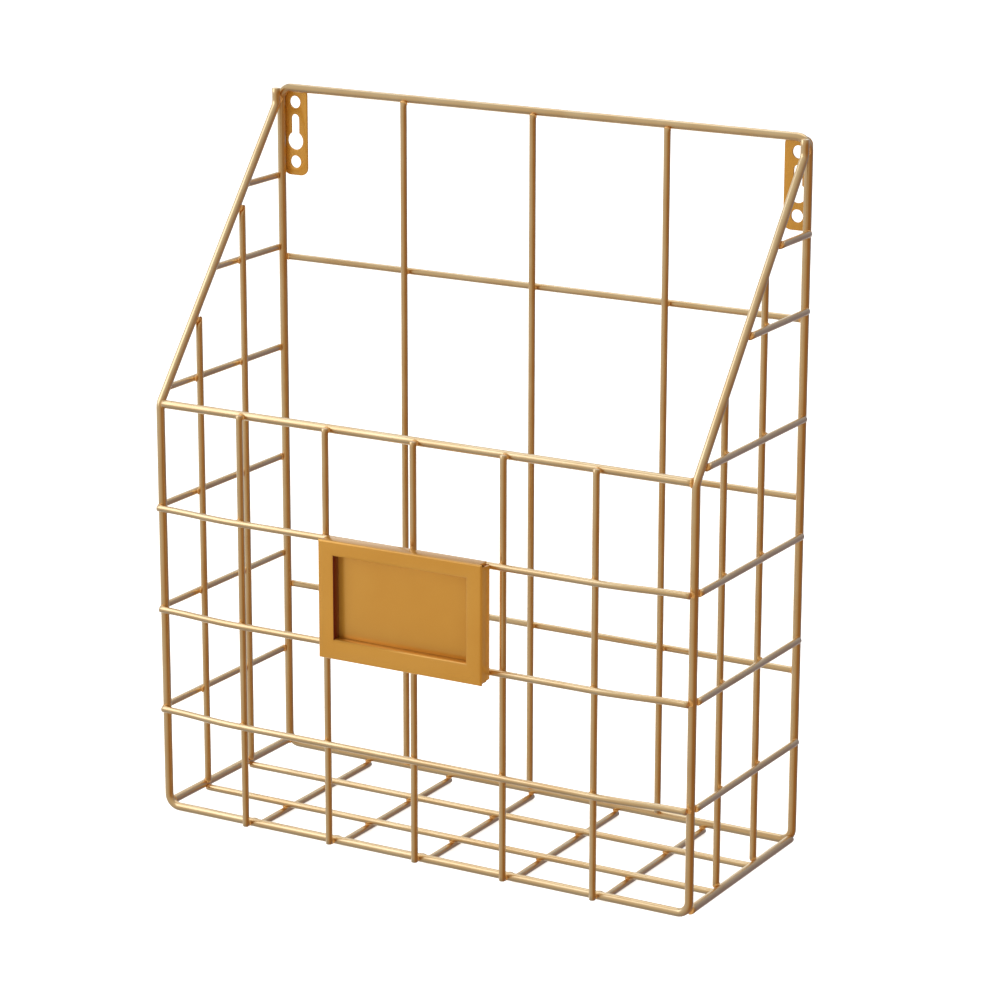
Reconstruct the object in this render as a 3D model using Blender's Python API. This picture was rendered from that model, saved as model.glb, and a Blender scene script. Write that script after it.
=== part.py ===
"""Wall magazine rack: a welded wire basket with keyhole hanger plates and a label holder.

Front faces -Y, the wall is at +Y, +Z is up. The pieces are laid out from the front rail:
y = 0 is the front rail's axis and z = 0 is the bottom rails' axis. An empty then carries
them all, so that the origin ends up in the middle of the rack's footprint, on the ground.
"""

from math import atan2, cos, pi, sin, sqrt, tan

import bmesh
import bpy
from mathutils import Quaternion, Vector

MM = 0.001

# Basket, measured between wire axes
WIDTH = 290 * MM
DEPTH = 110 * MM
BACK_HEIGHT = 345 * MM
FRONT_HEIGHT = 206 * MM

# Wire stock
FRAME_WIRE = 4.2 * MM
GRID_WIRE = 3.4 * MM
BEND_RADIUS = 6.0 * MM
JOINT_GAP = 0.3 * MM

# Lapped and drawn ends
TAB_LENGTH = 8.0 * MM
SLAT_OVERHANG = 1.0 * MM
SLAT_DRAW = 8.0 * MM
BASE_RAIL_RISE = 1.5 * MM

# Grid
BACK_COLUMNS = 4
BACK_ROWS = 4
FRONT_COLUMNS = 6
FRONT_ROWS = 4
SIDE_COLUMNS = 3
FLOOR_ROWS = 3
SHOULDER_SHARES = (0.045, 0.44, 0.72)

# Hanger plates
PLATE_SHEET = 1.2 * MM
PLATE_WIDTH = 14.0 * MM
PLATE_OVERHANG = 0.5 * MM
PLATE_CORNER = 4.0 * MM
PLATE_END_MARGIN = 6.8 * MM
PLATE_WEB = 3.0 * MM
SCREW_HOLE = 6.2 * MM
SCREW_HOLE_DROP = 7.6 * MM
KEYHOLE_EYE = 9.0 * MM
KEYHOLE_SLOT = 4.6 * MM
KEYHOLE_RUN = 13.4 * MM

# Label holder
LABEL_WIDTH = 89.0 * MM
LABEL_HEIGHT = 58.5 * MM
LABEL_TOP_RISE = 2.6 * MM
LABEL_SHEET = 1.0 * MM
LABEL_FOLD = 1.2 * MM
LABEL_RELIEF = 1.6 * MM
LABEL_BACK_INSET = 2.2 * MM
CARD_SLOT = 3.8 * MM
WINDOW_SIDE_BORDER = 8.7 * MM
WINDOW_TOP_BORDER = 7.7 * MM
WINDOW_BOTTOM_BORDER = 10.0 * MM
WINDOW_LIP = 3.0 * MM
CUT_MARGIN = 2.0 * MM

# Facets
FRAME_SIDES = 16
GRID_SIDES = 12
BEND_STEPS = 6
DRAW_STEPS = 6
HOLE_STEPS = 24
FOLD_STEPS = 3

# How wires meet, measured from a frame wire's axis: one that butts on it, one or two that lap it,
# and the two layers of a panel, which lie either side of its frame
frame_radius = FRAME_WIRE / 2
grid_radius = GRID_WIRE / 2
butt = frame_radius + JOINT_GAP
lap = butt + grid_radius
second_lap = lap + GRID_WIRE + JOINT_GAP
half_lap = (GRID_WIRE + JOINT_GAP) / 2
half_width = WIDTH / 2

# The floor's crosswires lie on its slats, level with the undersides of the bottom rails
floor_crosswire_z = GRID_WIRE + JOINT_GAP - lap

# The sloping shoulder runs from the front rail up to the tab in front of the back post
tab_y = DEPTH - FRAME_WIRE - JOINT_GAP
shoulder_top = BACK_HEIGHT - TAB_LENGTH
shoulder_rise = shoulder_top - FRONT_HEIGHT
shoulder_angle = atan2(shoulder_rise, tab_y)

# The box around the finished rack
label_depth = LABEL_SHEET + CARD_SLOT + LABEL_SHEET + LABEL_BACK_INSET
label_back_y = -(second_lap + grid_radius + JOINT_GAP)
front_y = label_back_y - label_depth
back_y = DEPTH + max(butt + PLATE_SHEET, half_lap + grid_radius)
ground_z = -(lap + grid_radius)


def clear_scene():
    for item in list(bpy.data.objects):
        bpy.data.objects.remove(item, do_unlink=True)


def new_collection(name):
    group = bpy.data.collections.new(name)
    bpy.context.scene.collection.children.link(group)
    return group


def lacquer(name, color, roughness):
    """Gold lacquer over steel, as a metal with a soft sheen."""
    material = bpy.data.materials.new(name)
    material.use_nodes = True
    shader = material.node_tree.nodes["Principled BSDF"]
    shader.inputs["Base Color"].default_value = (*color, 1)
    shader.inputs["Roughness"].default_value = roughness
    shader.inputs["Metallic"].default_value = 0.85
    return material


def add(name, data, material, location=(0, 0, 0)):
    piece = bpy.data.objects.new(name, data)
    piece.location = location
    piece.parent = rack_origin
    data.materials.append(material)
    rack.objects.link(piece)
    return piece


def add_cutter(name, mesh, location):
    cutter = bpy.data.objects.new(name, mesh)
    cutter.location = location
    cutter.parent = rack_origin
    cutter.hide_render = True
    cutter.display_type = "WIRE"
    cutters.objects.link(cutter)
    return cutter


def spread(length, count):
    """Places of the wires that share a length out into so many equal cells."""
    return [length * index / count for index in range(1, count)]


def depth_places(count):
    """Places of the wires that share out the depth from the front crosswires to the back posts."""
    return [y - second_lap for y in spread(DEPTH + second_lap, count)]


def bent(corners, closed=False):
    """A wire's axis through the given corners, each one turned at the bend radius."""
    line = []
    last = len(corners) - 1
    for index, corner in enumerate(corners):
        if not closed and index in (0, last):
            line.append(corner)
            continue
        back = (corners[index - 1] - corner).normalized()
        ahead = (corners[(index + 1) % len(corners)] - corner).normalized()
        half_angle = back.angle(ahead) / 2
        center = corner + (back + ahead).normalized() * (BEND_RADIUS / sin(half_angle))
        start = corner + back * (BEND_RADIUS / tan(half_angle)) - center
        end = corner + ahead * (BEND_RADIUS / tan(half_angle)) - center
        turn = start.rotation_difference(end)
        for step in range(BEND_STEPS + 1):
            line.append(center + Quaternion().slerp(turn, step / BEND_STEPS) @ start)
    return line


def drawn_end(start, end, lift):
    """(along, lift) of a wire's end that is drawn over, in a soft S, from its straight run to a seat."""
    shares = [step / DRAW_STEPS for step in range(DRAW_STEPS + 1)]
    return [(start + (end - start) * share, lift * (1 - cos(pi * share)) / 2) for share in shares]


def drawn_ends(half_straight, half_length, lift):
    """The same for a wire that is straight in the middle and drawn over at both ends."""
    end = drawn_end(half_straight, half_length, lift)
    return [(-along, rise) for along, rise in reversed(end)] + end


def wire(name, line, diameter, sides, material, location=(0, 0, 0), closed=False):
    curve = bpy.data.curves.new(name, "CURVE")
    curve.dimensions = "3D"
    curve.bevel_depth = diameter / 2
    curve.bevel_resolution = (sides - 4) // 2
    curve.use_fill_caps = not closed
    spline = curve.splines.new("POLY")
    spline.points.add(len(line) - 1)
    for point, place in zip(spline.points, line):
        point.co = (*place, 1)
    spline.use_cyclic_u = closed
    return add(name, curve, material, location)


def frame_wire(name, line, closed=False):
    return wire(name, line, FRAME_WIRE, FRAME_SIDES, frame_finish, closed=closed)


def grid_wire(name, line, location):
    return wire(name, line, GRID_WIRE, GRID_SIDES, grid_finish, location)


def mitred_wire(name, start, along, cut, normal):
    """A straight grid wire, square at its start and cut along a plane at its far end."""
    length = (cut - start).dot(normal) / along.dot(normal)
    tube = bmesh.new()
    bmesh.ops.create_cone(
        tube, cap_ends=True, segments=GRID_SIDES, radius1=grid_radius, radius2=grid_radius, depth=length
    )
    turn = along.to_track_quat("Z", "Y").to_matrix()
    bmesh.ops.rotate(tube, cent=(0, 0, 0), matrix=turn, verts=tube.verts)
    for vert in tube.verts:
        if vert.co.dot(along) > 0:
            aside = vert.co - along * (length / 2)
            vert.co -= along * (aside.dot(normal) / along.dot(normal))
    return add(name, to_mesh(name, tube), grid_finish, start + along * (length / 2))


def box(size):
    """A box around the origin, as an editable mesh."""
    shape = bmesh.new()
    bmesh.ops.create_cube(shape, size=1)
    bmesh.ops.scale(shape, vec=size, verts=shape.verts)
    return shape


def to_mesh(name, shape):
    mesh = bpy.data.meshes.new(name)
    shape.to_mesh(mesh)
    shape.free()
    return mesh


def boolean(piece, cutter, operation):
    modifier = piece.modifiers.new(cutter.name, "BOOLEAN")
    modifier.operation = operation
    modifier.solver = "EXACT"
    modifier.object = cutter


def arc(center, radius, start, end, steps):
    """Points of an arc between two angles, both ends included."""
    angles = [start + (end - start) * step / steps for step in range(steps + 1)]
    return [(center[0] + radius * cos(a), center[1] + radius * sin(a)) for a in angles]


def build_back_frame():
    corners = [(-half_width, 0), (half_width, 0), (half_width, BACK_HEIGHT), (-half_width, BACK_HEIGHT)]
    line = bent([Vector((x, DEPTH, z)) for x, z in corners], closed=True)
    frame_wire("back_frame", line, closed=True)


def build_front_frame():
    """One wire: tab, shoulder, front post, bottom rail and the same again on the other side."""
    half = [
        Vector((half_width, tab_y, BACK_HEIGHT)),
        Vector((half_width, tab_y, shoulder_top)),
        Vector((half_width, 0, FRONT_HEIGHT)),
        Vector((half_width, 0, 0)),
    ]
    mirrored = [Vector((-corner.x, corner.y, corner.z)) for corner in reversed(half)]
    frame_wire("front_frame", bent(half + mirrored))


def build_frame_rails():
    reach = half_width - butt
    frame_wire("front_top_rail", [(-reach, 0, FRONT_HEIGHT), (reach, 0, FRONT_HEIGHT)])
    for side, x in (("left", -half_width), ("right", half_width)):
        ends = [(x, butt, BASE_RAIL_RISE), (x, DEPTH - butt, BASE_RAIL_RISE)]
        frame_wire(f"base_rail_{side}", ends)


def build_back_grid():
    """A panel in the back frame, with its uprights to the front and its crosswires to the wall."""
    upright = [(0, 0, butt), (0, 0, BACK_HEIGHT - butt)]
    for number, x in enumerate(spread(WIDTH, BACK_COLUMNS), 1):
        grid_wire(f"back_upright_{number}", upright, (x - half_width, DEPTH - half_lap, 0))
    reach = half_width - butt
    across = [(-reach, 0, 0), (reach, 0, 0)]
    for number, z in enumerate(spread(BACK_HEIGHT, BACK_ROWS), 1):
        grid_wire(f"back_crosswire_{number}", across, (0, DEPTH + half_lap, z))


def build_front_grid():
    """Uprights lie in front of both rails and end half a rail's radius past their axes.

    The crosswires lie in front of the uprights, and their ends are drawn back to the posts.
    """
    columns = [x - half_width for x in spread(WIDTH, FRONT_COLUMNS)]
    past = frame_radius / 2
    upright = [(0, 0, -past), (0, 0, FRONT_HEIGHT + past)]
    for number, x in enumerate(columns, 1):
        grid_wire(f"front_upright_{number}", upright, (x, -lap, 0))
    drawn = drawn_ends(columns[-1] + grid_radius, half_width, second_lap - lap)
    across = [(along, lift, 0) for along, lift in drawn]
    for number, z in enumerate(spread(FRONT_HEIGHT, FRONT_ROWS), 1):
        grid_wire(f"front_crosswire_{number}", across, (0, -second_lap, z))


def build_side_grid(side, sign):
    """A panel with its uprights inside the side frame and its crosswires outside.

    Whatever ends at the sloping shoulder is cut along the shoulder's underside.
    """
    under_shoulder = Vector((0, sin(shoulder_angle), -cos(shoulder_angle)))
    cut = Vector((0, 0, FRONT_HEIGHT)) + under_shoulder * butt
    x = sign * (half_width - half_lap)
    for number, y in enumerate(depth_places(SIDE_COLUMNS), 1):
        foot = Vector((x, y, BASE_RAIL_RISE + butt))
        mitred_wire(f"side_upright_{side}_{number}", foot, Vector((0, 0, 1)), cut, under_shoulder)
    x = sign * (half_width + half_lap)
    across = [(0, butt, 0), (0, DEPTH - butt, 0)]
    for number, z in enumerate(spread(FRONT_HEIGHT, FRONT_ROWS), 1):
        grid_wire(f"side_crosswire_{side}_{number}", across, (x, 0, z))
    for number, share in enumerate(SHOULDER_SHARES, FRONT_ROWS):
        back = Vector((x, DEPTH - butt, FRONT_HEIGHT + shoulder_rise * share))
        mitred_wire(f"side_crosswire_{side}_{number}", back, Vector((0, -1, 0)), cut, under_shoulder)


def build_floor_grid():
    """Slats lap under the back rail and are drawn up to butt on the front one; crosswires lie on them."""
    lift = floor_crosswire_z + lap
    drawn = [(0, y, rise) for y, rise in drawn_end(butt + SLAT_DRAW, butt, lift)]
    line = [(0, DEPTH + SLAT_OVERHANG, 0), *drawn]
    for number, x in enumerate(spread(WIDTH, FRONT_COLUMNS), 1):
        grid_wire(f"floor_slat_{number}", line, (x - half_width, 0, -lap))
    reach = half_width - butt
    across = [(-reach, 0, 0), (reach, 0, 0)]
    for number, y in enumerate(depth_places(FLOOR_ROWS), 1):
        grid_wire(f"floor_crosswire_{number}", across, (0, y, floor_crosswire_z))


def plate_outlines():
    """Outline, two screw holes and a keyhole of a hanger plate, from the top rail's axis downwards."""
    upper = -SCREW_HOLE_DROP
    slot_top = upper - SCREW_HOLE / 2 - PLATE_WEB
    eye = slot_top - KEYHOLE_RUN
    lower = eye - KEYHOLE_EYE / 2 - PLATE_WEB - SCREW_HOLE / 2
    bottom = lower - PLATE_END_MARGIN
    right = PLATE_WIDTH / 2
    steps = HOLE_STEPS // 4
    corner_x = right - PLATE_CORNER
    corner_z = bottom + PLATE_CORNER
    outline = arc((-corner_x, corner_z), PLATE_CORNER, pi, 1.5 * pi, steps)
    outline += arc((corner_x, corner_z), PLATE_CORNER, 1.5 * pi, 2 * pi, steps)
    outline += arc((corner_x, -PLATE_CORNER), PLATE_CORNER, 0, pi / 2, steps)
    outline += arc((-corner_x, -PLATE_CORNER), PLATE_CORNER, pi / 2, pi, steps)
    neck = atan2(sqrt(KEYHOLE_EYE**2 - KEYHOLE_SLOT**2), KEYHOLE_SLOT)
    keyhole = arc((0, eye), KEYHOLE_EYE / 2, pi - neck, 2 * pi + neck, HOLE_STEPS)
    keyhole += arc((0, slot_top - KEYHOLE_SLOT / 2), KEYHOLE_SLOT / 2, 0, pi, HOLE_STEPS // 2)
    holes = [arc((0, z), SCREW_HOLE / 2, 0, 2 * pi, HOLE_STEPS)[:-1] for z in (upper, lower)]
    return [outline, keyhole, *holes]


def build_hanger_plates():
    plate_y = DEPTH + butt + PLATE_SHEET / 2
    plate_x = half_width + PLATE_OVERHANG - PLATE_WIDTH / 2
    for side, sign in (("left", -1), ("right", 1)):
        name = f"hanger_plate_{side}"
        curve = bpy.data.curves.new(name, "CURVE")
        curve.dimensions = "2D"
        curve.fill_mode = "BOTH"
        curve.extrude = PLATE_SHEET / 2
        for outline in plate_outlines():
            spline = curve.splines.new("POLY")
            spline.points.add(len(outline) - 1)
            for point, place in zip(spline.points, outline):
                point.co = (*place, 0, 1)
            spline.use_cyclic_u = True
        plate = add(name, curve, sheet_finish, (sign * plate_x, plate_y, BACK_HEIGHT))
        plate.rotation_euler.x = pi / 2


def build_label_holder():
    """A pan folded back on all four sides, with a lipped window, and a plate in it that backs a card."""
    top = spread(FRONT_HEIGHT, FRONT_ROWS)[-1] + LABEL_TOP_RISE
    bottom = top - LABEL_HEIGHT
    front = label_back_y - label_depth
    center = Vector((0, label_back_y - label_depth / 2, (top + bottom) / 2))

    block = box((LABEL_WIDTH, label_depth, LABEL_HEIGHT))
    front_verts = {v for v in block.verts if v.co.y < 0}
    folds = [e for e in block.edges if set(e.verts) <= front_verts]
    bmesh.ops.bevel(block, geom=folds, offset=LABEL_FOLD, segments=FOLD_STEPS, profile=0.5, affect="EDGES")
    bezel = add("label_bezel", to_mesh("label_bezel", block), sheet_finish, center)

    inside_width = LABEL_WIDTH - 2 * LABEL_SHEET
    inside_height = LABEL_HEIGHT - 2 * LABEL_SHEET
    hollow_depth = label_depth - LABEL_SHEET + CUT_MARGIN
    hollow = box((inside_width, hollow_depth, inside_height))
    place = (0, front + LABEL_SHEET + hollow_depth / 2, center.z)
    boolean(bezel, add_cutter("label_hollow", to_mesh("label_hollow", hollow), place), "DIFFERENCE")

    window_width = LABEL_WIDTH - 2 * WINDOW_SIDE_BORDER
    window_height = LABEL_HEIGHT - WINDOW_TOP_BORDER - WINDOW_BOTTOM_BORDER
    window_z = bottom + WINDOW_BOTTOM_BORDER + window_height / 2
    lip_depth = LABEL_SHEET / 2 + WINDOW_LIP
    lip = box((window_width + 2 * LABEL_SHEET, lip_depth, window_height + 2 * LABEL_SHEET))
    place = (0, front + LABEL_SHEET / 2 + lip_depth / 2, window_z)
    boolean(bezel, add_cutter("window_lip", to_mesh("window_lip", lip), place), "UNION")

    window = box((window_width, 2 * label_depth, window_height))
    place = (0, front, window_z)
    boolean(bezel, add_cutter("window", to_mesh("window", window), place), "DIFFERENCE")

    for side, x in (("left", -LABEL_WIDTH / 2), ("right", LABEL_WIDTH / 2)):
        for end, z in (("bottom", bottom), ("top", top)):
            name = f"relief_{end}_{side}"
            relief = box((2 * LABEL_RELIEF, label_depth, 2 * LABEL_RELIEF))
            place = (x, front + LABEL_FOLD + label_depth / 2, z)
            boolean(bezel, add_cutter(name, to_mesh(name, relief), place), "DIFFERENCE")

    plate = box((inside_width - 2 * JOINT_GAP, LABEL_SHEET, inside_height - 2 * JOINT_GAP))
    place = (0, label_back_y - LABEL_BACK_INSET - LABEL_SHEET / 2, center.z)
    add("label_back_plate", to_mesh("label_back_plate", plate), sheet_finish, place)


clear_scene()
rack = new_collection("wall_magazine_rack")
cutters = new_collection("cutters")
cutters.hide_render = True
rack_origin = bpy.data.objects.new("rack_origin", None)
rack_origin.location = (0, -(front_y + back_y) / 2, -ground_z)
rack.objects.link(rack_origin)
frame_finish = lacquer("gold_frame_wire", (0.58, 0.35, 0.13), 0.32)
grid_finish = lacquer("gold_grid_wire", (0.62, 0.39, 0.16), 0.30)
sheet_finish = lacquer("gold_sheet", (0.56, 0.29, 0.06), 0.42)

build_back_frame()
build_front_frame()
build_frame_rails()
build_back_grid()
build_front_grid()
build_side_grid("left", -1)
build_side_grid("right", 1)
build_floor_grid()
build_hanger_plates()
build_label_holder()
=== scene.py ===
import math

import bmesh
import bpy
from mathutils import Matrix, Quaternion, Vector


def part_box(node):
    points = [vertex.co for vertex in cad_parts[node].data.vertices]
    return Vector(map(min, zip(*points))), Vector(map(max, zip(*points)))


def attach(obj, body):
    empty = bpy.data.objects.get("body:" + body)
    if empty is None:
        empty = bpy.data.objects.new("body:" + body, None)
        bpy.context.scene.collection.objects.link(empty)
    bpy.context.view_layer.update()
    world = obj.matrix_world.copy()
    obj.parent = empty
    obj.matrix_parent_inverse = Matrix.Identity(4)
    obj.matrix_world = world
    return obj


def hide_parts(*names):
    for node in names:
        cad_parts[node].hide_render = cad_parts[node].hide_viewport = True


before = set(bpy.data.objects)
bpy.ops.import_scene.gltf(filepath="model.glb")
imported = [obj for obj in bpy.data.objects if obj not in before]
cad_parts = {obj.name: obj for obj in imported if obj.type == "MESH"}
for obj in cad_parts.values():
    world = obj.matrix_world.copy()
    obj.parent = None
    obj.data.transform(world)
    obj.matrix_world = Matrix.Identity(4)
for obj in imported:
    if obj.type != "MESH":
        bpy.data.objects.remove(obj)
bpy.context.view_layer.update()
mm = 0.001
print("frame loaded,", len(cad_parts), "nodes")


# small helpers

def linear(hexColour):
    # sRGB hex to the linear colour that a socket wants
    parts = [int(hexColour[place:place + 2], 16) / 255 for place in (1, 3, 5)]
    return [part / 12.92 if part <= 0.04045 else ((part + 0.055) / 1.055) ** 2.4 for part in parts] + [1]


def addNode(tree, kind, settings={}, links={}):
    # lower-case keys are the node's own settings, numbers and capitals are its input sockets
    node = tree.nodes.new(kind)
    for key, value in settings.items():
        if isinstance(key, int) or key[0].isupper():
            node.inputs[key].default_value = value
        else:
            setattr(node, key, value)
    for key, socket in links.items():
        tree.links.new(socket, node.inputs[key])
    return node


def newPiece(name, mesh, slot, *nodes):
    piece = bpy.data.objects.new(name, mesh)
    bpy.context.scene.collection.objects.link(piece)
    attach(piece, "root")
    if nodes:
        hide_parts(*nodes)
    return piece


# camera, matched to the photograph

cameraView = {
    "azimuth": 29.77,  # degrees round from the front towards the right
    "elevation": 15.58,
    "roll": 0.14,
    "distance": 1744 * mm,
    "target": Vector((15.67, 2.1, 173.88)) * mm,
    "lens": 131.7,
    "sensor": 36,
}


def makeCamera(view):
    turn, lift = math.radians(view["azimuth"]), math.radians(view["elevation"])
    away = Vector((math.sin(turn) * math.cos(lift), -math.cos(turn) * math.cos(lift), math.sin(lift)))
    data = bpy.data.cameras.new("photoCamera")
    data.lens, data.sensor_width = view["lens"], view["sensor"]
    camera = bpy.data.objects.new("photoCamera", data)
    camera.location = view["target"] + away * view["distance"]
    camera.rotation_mode = "QUATERNION"
    roll = Quaternion((0, 0, 1), math.radians(view["roll"]))
    camera.rotation_quaternion = away.to_track_quat("Z", "Y") @ roll
    bpy.context.scene.collection.objects.link(camera)
    bpy.context.scene.camera = camera


makeCamera(cameraView)
print("camera placed")


# finishes

wireLacquer = {
    "colour": "#F1D7A8",
    "pooled": "#EAC994",  # where the lacquer ran thicker
    "pooledFrom": 0.35,  # shares of the pattern where pooling starts and is full
    "pooledTo": 0.7,
    "stain": "#DDA659",  # painted shade round each weld, where the wires meet
    "paintedShadeShare": 0.3,
    "metal": 1,  # share of flake over plain pigment
    "roughness": 0.28,
    "roughnessSpread": 0.006,  # either way, from flake to flake
    "coat": 0.6,
    "coatRoughness": 0.12,
    "pooling": 22,  # mm, from one pooled stretch to the next
    "peel": 3,  # mm, the faint orange peel of a sprayed coat
    "peelDepth": 0.05,  # mm
    "peelStrength": 0.03,
    "flake": 0.9,  # mm, bronze flake is really twenty times finer and would not show
}
sheetLacquer = dict(
    wireLacquer, colour="#DEA33E", pooled="#D79A35", metal=0.55, roughness=0.26, coat=0.7, pooling=40,
    stain="#6A1608", paintedShadeShare=1)  # painted shade: dark red on the window's left wall, where the lip keeps the light off
beadLacquer = dict(
    wireLacquer, colour="#F2BE74", pooled="#EAB060", metal=0.5, roughness=0.33, pooling=4)


def sprayedLacquer(name, look):
    material = bpy.data.materials.new(name)
    material.use_nodes = True
    tree = material.node_tree
    tree.nodes.clear()
    place = addNode(tree, "ShaderNodeTexCoord").outputs["Object"]
    # broad, faint drift between thin and pooled lacquer
    pool = addNode(tree, "ShaderNodeTexNoise", {"Scale": 1 / (look["pooling"] * mm), "Detail": 2},
                   {"Vector": place})
    pooled = addNode(tree, "ShaderNodeMapRange",
                     {"From Min": look["pooledFrom"], "From Max": look["pooledTo"]},
                     {"Value": pool.outputs["Fac"]})
    tone = addNode(tree, "ShaderNodeMix",
                   {"data_type": "RGBA", 6: linear(look["colour"]), 7: linear(look["pooled"])},
                   {0: pooled.outputs["Result"]})
    # painted shade: a darker amber round each weld, where the wires meet, and dark red on the window's left
    # wall
    spot = addNode(tree, "ShaderNodeAttribute", {"attribute_name": "stain"})
    share = addNode(tree, "ShaderNodeMath", {"operation": "MULTIPLY", 1: look["paintedShadeShare"]},
                    {0: spot.outputs["Fac"]})
    paintedShadeTone = addNode(tree, "ShaderNodeMix", {"data_type": "RGBA", 7: linear(look["stain"])},
                      {0: share.outputs["Value"], 6: tone.outputs[2]})
    # flake sparkle moves the roughness, peel moves the surface
    flake = addNode(tree, "ShaderNodeTexNoise", {"Scale": 1 / (look["flake"] * mm), "Detail": 1},
                    {"Vector": place})
    smoothest = look["roughness"] - look["roughnessSpread"]
    roughest = look["roughness"] + look["roughnessSpread"]
    rough = addNode(tree, "ShaderNodeMapRange", {"To Min": smoothest, "To Max": roughest},
                    {"Value": flake.outputs["Fac"]})
    peel = addNode(tree, "ShaderNodeTexNoise", {"Scale": 1 / (look["peel"] * mm), "Detail": 2},
                   {"Vector": place})
    bump = addNode(tree, "ShaderNodeBump",
                   {"Strength": look["peelStrength"], "Distance": look["peelDepth"] * mm},
                   {"Height": peel.outputs["Fac"]})
    shader = addNode(tree, "ShaderNodeBsdfPrincipled",
                     {"Metallic": look["metal"], "Coat Weight": look["coat"],
                      "Coat Roughness": look["coatRoughness"]},
                     {"Base Color": paintedShadeTone.outputs[2], "Roughness": rough.outputs["Result"],
                      "Normal": bump.outputs["Normal"]})
    addNode(tree, "ShaderNodeOutputMaterial", {}, {"Surface": shader.outputs["BSDF"]})
    return material


# gold lacquer sprayed over drawn steel wire: a satin gold that keeps a sharp cream line along each wire
drawnWireFinish = sprayedLacquer("goldLacquerOnDrawnSteelWire", wireLacquer)
# the same lacquer on pressed sheet: flat, so it shows as an even orange gold
pressedSheetFinish = sprayedLacquer("goldLacquerOnPressedSheetSteel", sheetLacquer)
# lacquer that gathers round resistance welds: bright amber beads, less metallic than the wire
weldFinish = sprayedLacquer("goldLacquerOverWeldBead", beadLacquer)
print("finishes made")


# wires, each laid along the axis of the CAD wire that it stands for

wireStock = {
    "bend": 6 * mm,  # radius at a wire's axis
    "bendSteps": 10,
    "tab": 8 * mm,  # upright end of the shoulder, lapped on the back post
    "slatDraw": 8 * mm,  # length over which a floor slat is drawn up to the front rail
    "drawSteps": 12,
    "leastSlope": 1 * mm,  # a stretch of the front wire that runs further back than this is a shoulder
    "sink": 0.9 * mm,  # a butt end runs this far into its weld
    "cutEase": 0.3 * mm,  # sheared ends are a little rounded by tumbling and lacquer
    "mitreRun": 9 * mm,  # length over which the rings lean over to a sloping cut
    "ring": 2.5 * mm,  # spacing of rings along a wire
    "sides": 20,
    "waver": 0.08 * mm,  # draw and lacquer leave the surface slightly uneven
    "waverLength": 9 * mm,
    # how far the painted shade spreads round a weld
    "weldShadeReach": 4.5 * mm,
}


def bent(corners, closed=False):
    line = []
    for index, corner in enumerate(corners):
        if not closed and index in (0, len(corners) - 1):
            line.append(corner)
            continue
        back = (corners[index - 1] - corner).normalized()
        ahead = (corners[(index + 1) % len(corners)] - corner).normalized()
        half = back.angle(ahead) / 2
        centre = corner + (back + ahead).normalized() * (wireStock["bend"] / math.sin(half))
        start = corner + back * (wireStock["bend"] / math.tan(half)) - centre
        end = corner + ahead * (wireStock["bend"] / math.tan(half)) - centre
        turn = start.rotation_difference(end)
        steps = wireStock["bendSteps"]
        line += [centre + Quaternion().slerp(turn, step / steps) @ start for step in range(steps + 1)]
    return line


def drawnEnd(start, end, lift):
    # (along, lift) of an end that is drawn over, in a soft S, from its straight run to a seat
    steps = wireStock["drawSteps"]
    shares = [step / steps for step in range(steps + 1)]
    return [(start + (end - start) * share, lift * (1 - math.cos(math.pi * share)) / 2) for share in shares]


def straightLine(node):
    low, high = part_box(node)
    size = high - low
    along = max(range(3), key=lambda axis: size[axis])
    start, end = (low + high) / 2, (low + high) / 2
    start[along], end[along] = low[along], high[along]
    return [start, end], min(size) / 2


def backFrameLine():
    low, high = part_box("back_frame")
    radius = (high.y - low.y) / 2
    y = (low.y + high.y) / 2
    left, right, bottom, top = low.x + radius, high.x - radius, low.z + radius, high.z - radius
    corners = [(left, y, bottom), (right, y, bottom), (right, y, top), (left, y, top)]
    return bent([Vector(corner) for corner in corners], closed=True), radius


def frontFrameLine(radius):
    low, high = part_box("front_frame")
    railLow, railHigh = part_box("front_top_rail")
    x, rail = high.x - radius, (railLow.z + railHigh.z) / 2
    front, tab = low.y + radius, high.y - radius
    half = [Vector((x, tab, high.z)), Vector((x, tab, high.z - wireStock["tab"])),
            Vector((x, front, rail)), Vector((x, front, low.z + radius))]
    return bent(half + [Vector((-corner.x, corner.y, corner.z)) for corner in reversed(half)])


def segments(line, closed):
    return list(zip(line, line[1:] + line[:1])) if closed else list(zip(line, line[1:]))


def shoulderNormal(frontLine):
    # square to the sloping shoulder, down and back, from the longest straight stretch of the first side
    first = frontLine[:len(frontLine) // 2]
    runs = [b - a for a, b in segments(first, False)]
    slope = max((run for run in runs if abs(run.y) > wireStock["leastSlope"]), key=lambda run: run.length)
    slope = slope.normalized() * (1 if slope.y > 0 else -1)
    return Vector((0, slope.z, -slope.y))


def mitredLine(node, normal):
    # the CAD box ends at the cut's far corner, so the axis ends a little short of that
    (start, end), radius = straightLine(node)
    if node.startswith("side_crosswire"):
        start, end = end, start
    along = (end - start).normalized()
    facing = abs(along.dot(normal))
    return [start, end - along * radius * math.sqrt(1 - facing ** 2) / facing], radius


def frontCrosswireLine(node):
    low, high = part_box(node)
    radius = (high.z - low.z) / 2
    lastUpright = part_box("front_upright_5")[1].x
    end = drawnEnd(lastUpright, high.x, high.y - low.y - 2 * radius)
    line = [(-along, lift) for along, lift in reversed(end)] + end
    return [Vector((along, low.y + radius + lift, low.z + radius)) for along, lift in line], radius


def slatLine(node):
    low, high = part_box(node)
    radius = (high.x - low.x) / 2
    x, floor = low.x + radius, low.z + radius
    end = drawnEnd(low.y + wireStock["slatDraw"], low.y, high.z - low.z - 2 * radius)
    return [Vector((x, high.y, floor))] + [Vector((x, y, floor + lift)) for y, lift in end], radius


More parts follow.
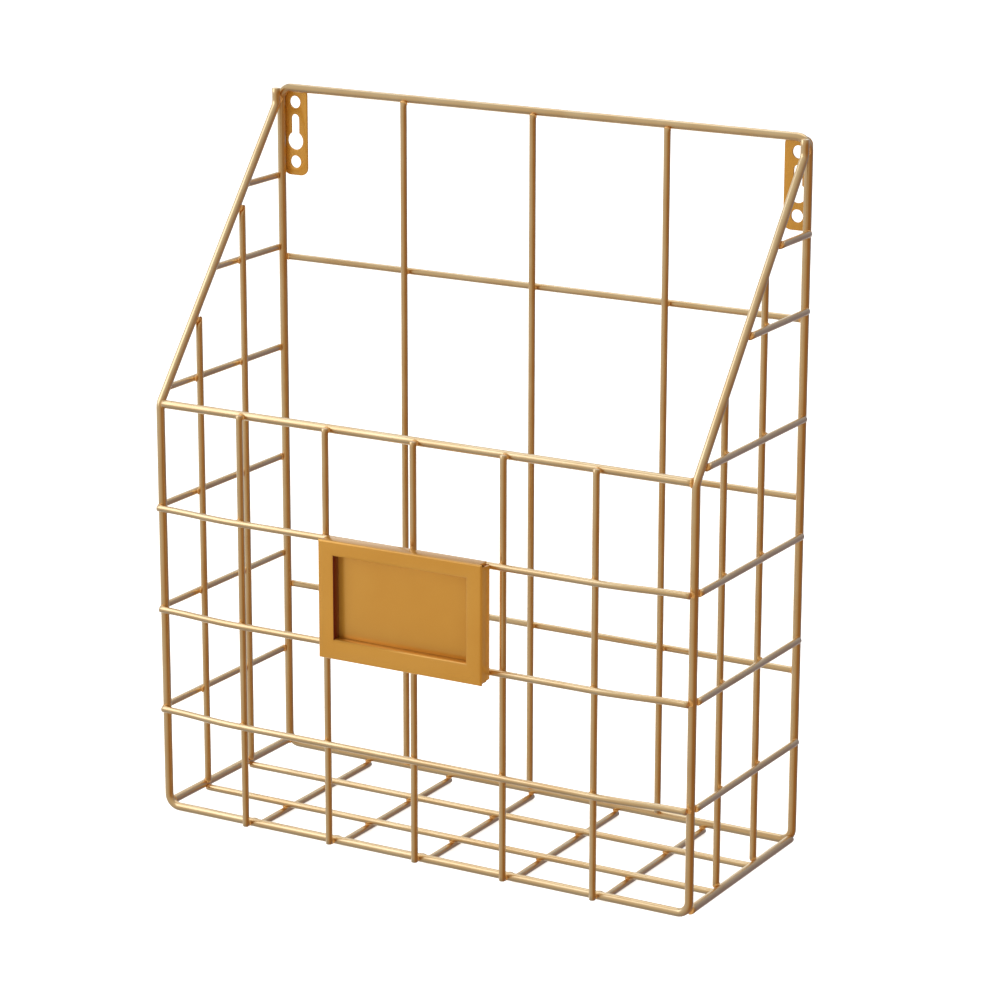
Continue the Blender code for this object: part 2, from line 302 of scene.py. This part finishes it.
def layOutWires():
    wires = {}
    backLine, frameRadius = backFrameLine()
    frontLine = frontFrameLine(frameRadius)
    underShoulder = shoulderNormal(frontLine)
    wires["back_frame"] = (backLine, frameRadius, True, None)
    wires["front_frame"] = (frontLine, frameRadius, False, None)
    for node in sorted(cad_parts):
        if node.startswith(("hanger", "label")) or node in wires:
            continue
        cut = None
        if node.startswith("front_crosswire"):
            line, radius = frontCrosswireLine(node)
        elif node.startswith("floor_slat"):
            line, radius = slatLine(node)
        elif node.startswith("side_upright") or node.startswith("side_crosswire") and node[-1] in "456":
            line, radius = mitredLine(node, underShoulder)
            cut = underShoulder
        else:
            line, radius = straightLine(node)
        wires[node] = (line, radius, False, cut)
    return wires


# welds, found where two wires come close

weldBeads = {
    "gap": 0.3 * mm,  # the CAD leaves this between wires, and the bead fills it
    "reach": 0.5 * mm,  # wires closer than this are welded
    "apart": 14 * mm,  # two wires have no two welds closer than this
    "parallel": 1e-9,  # share of its full value at which the spread of two wires counts as none
    "endOn": 0.6,  # cosine between a wire and the joint, past which the wire butts
    "wide": 1,  # of the thinner wire's radius, along the joint
    "deep": 0.5,  # of the same, across it
    "collar": 0.2 * mm,  # how far a butt weld stands out round the wire
    "collarDepth": 0.9 * mm,
    "collarShift": 0.4 * mm,  # from the wire's end towards the other wire
    "uneven": 0.12,  # spread of bead sizes
    "seed": 7,
    "segments": 10,
    "rings": 6,
}


def nearest(a, b, c, d):
    # closest points of the segments a-b and c-d
    first, second, between = b - a, d - c, a - c
    aa, bb, ab = first.dot(first), second.dot(second), first.dot(second)
    af, bf = first.dot(between), second.dot(between)
    spread = aa * bb - ab * ab
    parallel = spread <= weldBeads["parallel"] * aa * bb
    s = 0.5 if parallel else min(max((ab * bf - af * bb) / spread, 0), 1)
    t = min(max((ab * s + bf) / bb, 0), 1)
    s = min(max((ab * t - af) / aa, 0), 1)
    return a + first * s, c + second * t


def findWelds(wires):
    # every place where two wires lap or butt: (place, direction across the joint, half-sizes of the bead)
    # and the wire ends that butt on another wire
    welds, butts = [], set()
    names = sorted(wires)
    for index, one in enumerate(names):
        lineA, radiusA, closedA = wires[one][:3]
        for other in names[index + 1:]:
            lineB, radiusB, closedB = wires[other][:3]
            found = []
            for a, b in segments(lineA, closedA):
                for c, d in segments(lineB, closedB):
                    p, q = nearest(a, b, c, d)
                    if (q - p).length < radiusA + radiusB + weldBeads["reach"]:
                        found.append((p, q, b - a, d - c))
            while found:
                seed = found[0][0]
                group = [item for item in found if (item[0] - seed).length < weldBeads["apart"]]
                found = [item for item in found if item not in group]
                p, q, alongA, alongB = min(group, key=lambda item: (item[1] - item[0]).length)
                across = (q - p).normalized()
                buttA = abs(across.dot(alongA.normalized())) > weldBeads["endOn"]
                buttB = abs(across.dot(alongB.normalized())) > weldBeads["endOn"]
                if buttA:
                    butts.add((one, (p - lineA[0]).length > (p - lineA[-1]).length))
                    centre = p + across * weldBeads["collarShift"]
                    wide, deep = radiusA + weldBeads["collar"], weldBeads["collarDepth"]
                elif buttB:
                    butts.add((other, (q - lineB[0]).length > (q - lineB[-1]).length))
                    centre = q - across * weldBeads["collarShift"]
                    wide, deep = radiusB + weldBeads["collar"], weldBeads["collarDepth"]
                else:
                    centre = p + across * (radiusA + weldBeads["gap"] / 2)
                    thinner = min(radiusA, radiusB)
                    wide, deep = weldBeads["wide"] * thinner, weldBeads["deep"] * thinner
                welds.append((centre, across, Vector((wide, wide, deep))))
    return welds, butts


def sunkLine(node, line, butts):
    # the same line with its butt ends run into their welds
    line = list(line)
    if (node, False) in butts:
        line[0] = line[0] + (line[0] - line[1]).normalized() * wireStock["sink"]
    if (node, True) in butts:
        line[-1] = line[-1] + (line[-1] - line[-2]).normalized() * wireStock["sink"]
    return line


def newTree(name, inputs):
    tree = bpy.data.node_groups.new(name, "GeometryNodeTree")
    tree.interface.new_socket("Geometry", in_out="INPUT", socket_type="NodeSocketGeometry")
    for label, kind in inputs.items():
        tree.interface.new_socket(label, in_out="INPUT", socket_type="NodeSocket" + kind)
    tree.interface.new_socket("Geometry", in_out="OUTPUT", socket_type="NodeSocketGeometry")
    return tree, addNode(tree, "NodeGroupInput").outputs


def grown(source, tree, values):
    # runs a tree on an object and gives back the plain mesh that it makes
    modifier = source.modifiers.new(tree.name, "NODES")
    modifier.node_group = tree
    for item in tree.interface.items_tree:
        if item.name in values:
            modifier[item.identifier] = values[item.name]
    mesh = bpy.data.meshes.new_from_object(source.evaluated_get(bpy.context.evaluated_depsgraph_get()))
    source.modifiers.remove(modifier)
    return mesh


def makeWireTree():
    tree, given = newTree("drawnWire", {
        "Sides": "Int", "Waver": "Float", "Waver Length": "Float", "Welds": "Object", "Weld Shade Reach": "Float",
        "Finish": "Material"})
    ring = addNode(tree, "GeometryNodeCurvePrimitiveCircle", {"Radius": 1}, {"Resolution": given["Sides"]})
    thick = addNode(tree, "GeometryNodeInputRadius")
    tube = addNode(tree, "GeometryNodeCurveToMesh", {"Fill Caps": True},
                   {"Curve": given["Geometry"], "Profile Curve": ring.outputs["Curve"],
                    "Scale": thick.outputs["Radius"]})
    # the surface only ever dips, so a wire never grows past its CAD size
    coarse = addNode(tree, "ShaderNodeMath", {"operation": "DIVIDE", 0: 1}, {1: given["Waver Length"]})
    dips = addNode(tree, "ShaderNodeTexNoise", {"Detail": 1}, {"Scale": coarse.outputs["Value"]})
    depth = addNode(tree, "ShaderNodeMath", {"operation": "MULTIPLY"},
                    {0: dips.outputs["Fac"], 1: given["Waver"]})
    outward = addNode(tree, "GeometryNodeInputNormal")
    minus = addNode(tree, "ShaderNodeMath", {"operation": "MULTIPLY", 1: -1}, {0: depth.outputs["Value"]})
    inward = addNode(tree, "ShaderNodeVectorMath", {"operation": "SCALE"},
                     {0: outward.outputs["Normal"], "Scale": minus.outputs["Value"]})
    uneven = addNode(tree, "GeometryNodeSetPosition", {},
                     {"Geometry": tube.outputs["Mesh"], "Offset": inward.outputs["Vector"]})
    # how close each point is to a weld, for the painted shade round it
    spots = addNode(tree, "GeometryNodeObjectInfo", {"transform_space": "RELATIVE"},
                    {"Object": given["Welds"]})
    near = addNode(tree, "GeometryNodeProximity", {"target_element": "POINTS"},
                   {0: spots.outputs["Geometry"]})
    weldShade = addNode(tree, "ShaderNodeMapRange", {"interpolation_type": "SMOOTHSTEP", "To Min": 1, "To Max": 0},
                   {"Value": near.outputs["Distance"], "From Max": given["Weld Shade Reach"]})
    kept = addNode(tree, "GeometryNodeStoreNamedAttribute", {"Name": "stain"},
                   {"Geometry": uneven.outputs["Geometry"], "Value": weldShade.outputs["Result"]})
    smooth = addNode(tree, "GeometryNodeSetShadeSmooth", {}, {"Geometry": kept.outputs["Geometry"]})
    real = addNode(tree, "GeometryNodeRealizeInstances", {}, {"Geometry": smooth.outputs["Geometry"]})
    coated = addNode(tree, "GeometryNodeSetMaterial", {},
                     {"Geometry": real.outputs["Geometry"], "Material": given["Finish"]})
    addNode(tree, "NodeGroupOutput", {}, {"Geometry": coated.outputs["Geometry"]})
    return tree


def wireCurve(name, line, radius, closed):
    points = []
    for a, b in segments(line, closed):
        steps = max(1, round((b - a).length / wireStock["ring"]))
        points += [(a.lerp(b, step / steps), radius) for step in range(steps)]
    if not closed:
        points.append((line[-1], radius))
        rounding = wireStock["cutEase"]
        for end, second in ((0, 1), (-1, -2)):
            tip, inner = points[end][0], points[second][0]
            points[end] = (tip, radius - rounding)
            full = (tip + (inner - tip).normalized() * rounding, radius)
            points.insert(1 if end == 0 else len(points) - 1, full)
    curve = bpy.data.curves.new(name, "CURVE")
    curve.dimensions = "3D"
    spline = curve.splines.new("POLY")
    spline.points.add(len(points) - 1)
    for point, (place, thickness) in zip(spline.points, points):
        point.co = (*place, 1)
        point.radius = thickness
    spline.use_cyclic_u = closed
    guide = bpy.data.objects.new(name, curve)
    bpy.context.scene.collection.objects.link(guide)
    return guide


def mitreEnd(mesh, line, cut):
    # slides the last rings along the wire, so that its end lies along the shoulder
    along = (line[-1] - line[0]).normalized()
    for vert in mesh.vertices:
        aside = vert.co - line[-1]
        behind = aside.dot(along)
        share = min(max(1 + behind / wireStock["mitreRun"], 0), 1)
        vert.co -= along * share * (aside - along * behind).dot(cut) / along.dot(cut)


def makeBeadTree():
    tree, given = newTree("weldBeads", {
        "Segments": "Int", "Rings": "Int", "Uneven": "Float", "Seed": "Int", "Finish": "Material"})
    bead = addNode(tree, "GeometryNodeMeshUVSphere", {"Radius": 1},
                   {"Segments": given["Segments"], "Rings": given["Rings"]})
    across = addNode(tree, "GeometryNodeInputNamedAttribute", {"data_type": "FLOAT_VECTOR", "Name": "across"})
    size = addNode(tree, "GeometryNodeInputNamedAttribute", {"data_type": "FLOAT_VECTOR", "Name": "halfSize"})
    turned = addNode(tree, "FunctionNodeAlignRotationToVector", {"axis": "Z"},
                     {"Vector": across.outputs["Attribute"]})
    least = addNode(tree, "ShaderNodeMath", {"operation": "SUBTRACT", 0: 1}, {1: given["Uneven"]})
    most = addNode(tree, "ShaderNodeMath", {"operation": "ADD", 0: 1}, {1: given["Uneven"]})
    factor = addNode(tree, "FunctionNodeRandomValue", {"data_type": "FLOAT"},
                     {2: least.outputs["Value"], 3: most.outputs["Value"], "Seed": given["Seed"]})
    scaled = addNode(tree, "ShaderNodeVectorMath", {"operation": "SCALE"},
                     {0: size.outputs["Attribute"], "Scale": factor.outputs[1]})
    smooth = addNode(tree, "GeometryNodeSetShadeSmooth", {}, {"Geometry": bead.outputs["Mesh"]})
    placed = addNode(tree, "GeometryNodeInstanceOnPoints", {},
                     {"Points": given["Geometry"], "Instance": smooth.outputs["Geometry"],
                      "Rotation": turned.outputs["Rotation"], "Scale": scaled.outputs["Vector"]})
    real = addNode(tree, "GeometryNodeRealizeInstances", {}, {"Geometry": placed.outputs["Instances"]})
    coated = addNode(tree, "GeometryNodeSetMaterial", {},
                     {"Geometry": real.outputs["Geometry"], "Material": given["Finish"]})
    addNode(tree, "NodeGroupOutput", {}, {"Geometry": coated.outputs["Geometry"]})
    return tree


def weldGuide(welds):
    mesh = bpy.data.meshes.new("weldGuide")
    mesh.from_pydata([weld[0] for weld in welds], [], [])
    for label, column in (("across", 1), ("halfSize", 2)):
        layer = mesh.attributes.new(label, "FLOAT_VECTOR", "POINT")
        for item, weld in zip(layer.data, welds):
            item.vector = weld[column]
    guide = bpy.data.objects.new("weldGuide", mesh)
    bpy.context.scene.collection.objects.link(guide)
    return guide


wires = layOutWires()
welds, butts = findWelds(wires)
guide = weldGuide(welds)
wireTree = makeWireTree()
frameNodes = ("back_frame", "front_frame", "front_top_rail", "base_rail_left", "base_rail_right")
for node, (line, radius, closed, cut) in wires.items():
    line = sunkLine(node, line, butts)
    path = wireCurve("path_" + node, line, radius, closed)
    mesh = grown(path, wireTree, {
        "Sides": wireStock["sides"], "Waver": wireStock["waver"], "Waver Length": wireStock["waverLength"],
        "Welds": guide, "Weld Shade Reach": wireStock["weldShadeReach"], "Finish": drawnWireFinish})
    bpy.data.objects.remove(path)
    if cut:
        mitreEnd(mesh, line, cut)
    newPiece("lacquered_" + node, mesh, "frame_wire" if node in frameNodes else "grid_wire", node)
print("wires laid:", len(wires))

beadMesh = grown(guide, makeBeadTree(), {
    "Segments": weldBeads["segments"], "Rings": weldBeads["rings"], "Uneven": weldBeads["uneven"],
    "Seed": weldBeads["seed"], "Finish": weldFinish})
bpy.data.objects.remove(guide)
newPiece("weld_beads", beadMesh, "grid_wire")
print("welds:", len(welds))


# hanger plates and label holder, the CAD sheets with their edges eased

sheetEdges = {
    "ease": 0.25 * mm,
    "windowEase": 1.8 * mm,  # the window's edge is pressed back in a full round
    "steps": 4,
    "profile": 0.5,  # a round edge
    "sharpest": math.radians(35),  # edges that turn by more are eased
    "flattest": math.radians(0.5),  # faces that differ by less are one face
    "merge": 0.001 * mm,
    "sliver": 0.005 * mm,
    "frontDepth": 0.01 * mm,  # edges this close to the front are the window's
    "lipClearance": 0.05 * mm,  # the lip is pressed on to the plate behind, for the photograph shows no slot
    "lipReach": 1 * mm,
    "shadedWall": -35.8 * mm,  # the lip's left wall, which gets painted shade in dark red
    "shadedWallReach": 0.5 * mm,
    "shadedWallFacing": 0.7,  # least share of a face's normal that points right
}


def ease(shape, edges, size):
    bmesh.ops.bevel(shape, geom=edges, offset=size, segments=sheetEdges["steps"],
                    profile=sheetEdges["profile"], affect="EDGES", clamp_overlap=True)


def easedSheet(node, slot):
    shape = bmesh.new()
    shape.from_mesh(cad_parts[node].data)
    bmesh.ops.remove_doubles(shape, verts=shape.verts, dist=sheetEdges["merge"])
    bmesh.ops.dissolve_limit(shape, angle_limit=sheetEdges["flattest"], verts=shape.verts, edges=shape.edges)
    edges = [edge for edge in shape.edges
             if edge.is_manifold and edge.calc_face_angle() > sheetEdges["sharpest"]]
    if node == "label_bezel":
        front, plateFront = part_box(node)[0].y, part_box("label_back_plate")[0].y
        for vert in shape.verts:
            if 0 < plateFront - vert.co.y < sheetEdges["lipReach"]:
                vert.co.y = plateFront - sheetEdges["lipClearance"]
        window = [edge for edge in edges
                  if all(vert.co.y - front < sheetEdges["frontDepth"] for vert in edge.verts)]
        ease(shape, window, sheetEdges["windowEase"])
        edges = [edge for edge in edges if edge.is_valid]
    ease(shape, edges, sheetEdges["ease"])
    # slivers that the easing leaves where three edges meet
    bmesh.ops.dissolve_degenerate(shape, dist=sheetEdges["sliver"], edges=shape.edges)
    mesh = bpy.data.meshes.new("eased_" + node)
    shape.to_mesh(mesh)
    shape.free()
    mesh.shade_smooth()
    mesh.set_sharp_from_angle(angle=sheetEdges["sharpest"])
    mesh.materials.append(pressedSheetFinish)
    # painted shade: the faces of the lip's left wall turn dark red, where the lip keeps the light off
    wallShade = mesh.attributes.new("stain", "FLOAT", "FACE")
    for face in mesh.polygons:
        close = abs(face.center.x - sheetEdges["shadedWall"]) < sheetEdges["shadedWallReach"]
        wallShade.data[face.index].value = close and face.normal.x > sheetEdges["shadedWallFacing"]
    newPiece("lacquered_" + node, mesh, slot, node)


for side in ("left", "right"):
    easedSheet("hanger_plate_" + side, "hanger_plate")
for sheet in ("label_bezel", "label_back_plate"):
    easedSheet(sheet, "label_holder")
print("sheets eased")


# floor and light

studio = {
    "floor": "#F7F6F4",
    "floorSize": 12,  # m
    "floorRoughness": 0.9,
    "floorGlow": 0.85,  # a light table, so that the paper stays white and shadows faint
    "room": (0.41, 0.375, 0.375),  # light that the room sends back, and its change along each axis
    "right": (-0.11, -0.15, -0.2),  # less and warmer away from the window
    "back": (-0.13, -0.08, 0.025),
    "up": (0.11, 0.135, 0.14),
    # three larger things that the wires mirror: direction, cosines where it starts and is full, colour
    "patches": (
        # a white sweep behind the rack gives the wires a pale rim
        ((-0.66, 0.68, -0.24), 0.6, 0.93, "#FFFCF4"),
        # a brown screen at the right gives the uprights a dark edge
        ((0.93, -0.1, -0.35), 0.5, 1, "#956C3F"),
        # the grey front of the table gives level wires a dark underside
        ((-0.4, -0.5, -0.77), 0.85, 1, "#9C9DA0"),
    ),
    "backdrop": "#FFFFFF",
    # a large softbox close by, so that its line shifts from wire to wire
    "softbox": {
        "at": (-0.7, -0.5, 0.75), "aim": (0, 0, 0.17), "size": 0.9, "power": 3.05, "colour": "#ECF2FF"},
    "top": {"from": (-0.1, 0.35, 0.9), "strength": 0.6, "spread": 60, "colour": "#FFFFFF"},
}


def makeLight(name, kind, look, towards):
    data = bpy.data.lights.new(name, kind)
    data.color = linear(look["colour"])[:3]
    light = bpy.data.objects.new(name, data)
    light.rotation_mode = "QUATERNION"
    light.rotation_quaternion = towards.to_track_quat("-Z", "Y")
    bpy.context.scene.collection.objects.link(light)
    return light


def makeLights(shadedPieces):
    look = studio["softbox"]
    box = makeLight("softboxLight", "AREA", look, Vector(look["aim"]) - Vector(look["at"]))
    box.location = look["at"]
    box.data.size, box.data.energy = look["size"], look["power"]
    # a flag keeps the softbox off the back grid, which has no cream line in the photograph
    shaded = bpy.data.collections.new("shadedFromSoftbox")
    for piece in shadedPieces:
        shaded.objects.link(piece)
    for member in shaded.collection_objects:
        member.light_linking.link_state = "EXCLUDE"
    box.light_linking.receiver_collection = shaded
    look = studio["top"]
    top = makeLight("topLight", "SUN", look, -Vector(look["from"]))
    top.data.angle, top.data.energy = math.radians(look["spread"]), look["strength"]


def makeFloor():
    half = studio["floorSize"] / 2
    mesh = bpy.data.meshes.new("studioFloor")
    corners = [(-half, -half, 0), (half, -half, 0), (half, half, 0), (-half, half, 0)]
    mesh.from_pydata(corners, [], [(0, 1, 2, 3)])
    material = bpy.data.materials.new("litStudioPaper")
    material.use_nodes = True
    tree = material.node_tree
    tree.nodes.clear()
    paper = addNode(tree, "ShaderNodeBsdfPrincipled", {
        "Base Color": linear(studio["floor"]), "Roughness": studio["floorRoughness"], "Specular IOR Level": 0,
        "Emission Color": linear(studio["floor"]), "Emission Strength": studio["floorGlow"]})
    addNode(tree, "ShaderNodeOutputMaterial", {}, {"Surface": paper.outputs["BSDF"]})
    mesh.materials.append(material)
    floor = bpy.data.objects.new("studioFloor", mesh)
    floor.visible_glossy = False  # the wires mirror the room, not the table
    bpy.context.scene.collection.objects.link(floor)


def makeRoom():
    # soft changes from side to side, and the patches
    world = bpy.data.worlds.new("studioRoom")
    world.use_nodes = True
    tree = world.node_tree
    tree.nodes.clear()
    ray = addNode(tree, "ShaderNodeTexCoord").outputs["Generated"]
    axes = addNode(tree, "ShaderNodeSeparateXYZ", {}, {"Vector": ray}).outputs
    tone = addNode(tree, "ShaderNodeVectorMath",
                   {"operation": "MULTIPLY_ADD", 1: studio["right"], 2: studio["room"]}, {0: axes["X"]})
    for side, axis in (("back", "Y"), ("up", "Z")):
        tone = addNode(tree, "ShaderNodeVectorMath", {"operation": "MULTIPLY_ADD", 1: studio[side]},
                       {0: axes[axis], 2: tone.outputs["Vector"]})
    tone = tone.outputs["Vector"]
    for direction, begins, full, colour in studio["patches"]:
        facing = addNode(tree, "ShaderNodeVectorMath",
                         {"operation": "DOT_PRODUCT", 1: Vector(direction).normalized()}, {0: ray})
        reach = addNode(tree, "ShaderNodeMapRange",
                        {"interpolation_type": "SMOOTHSTEP", "From Min": begins, "From Max": full},
                        {"Value": facing.outputs["Value"]})
        tone = addNode(tree, "ShaderNodeMix", {"data_type": "RGBA", 7: linear(colour)},
                       {0: reach.outputs["Result"], 6: tone}).outputs[2]
    seen = addNode(tree, "ShaderNodeLightPath").outputs["Is Camera Ray"]
    shown = addNode(tree, "ShaderNodeMix", {"data_type": "RGBA", 7: linear(studio["backdrop"])},
                    {0: seen, 6: tone})
    room = addNode(tree, "ShaderNodeBackground", {}, {"Color": shown.outputs[2]})
    addNode(tree, "ShaderNodeOutputWorld", {}, {"Surface": room.outputs["Background"]})
    bpy.context.scene.world = world


makeFloor()
makeRoom()
makeLights([bpy.data.objects["lacquered_" + node] for node in wires if node.startswith("back_")])
bpy.context.scene.view_settings.view_transform = "Standard"
print("studio lit")
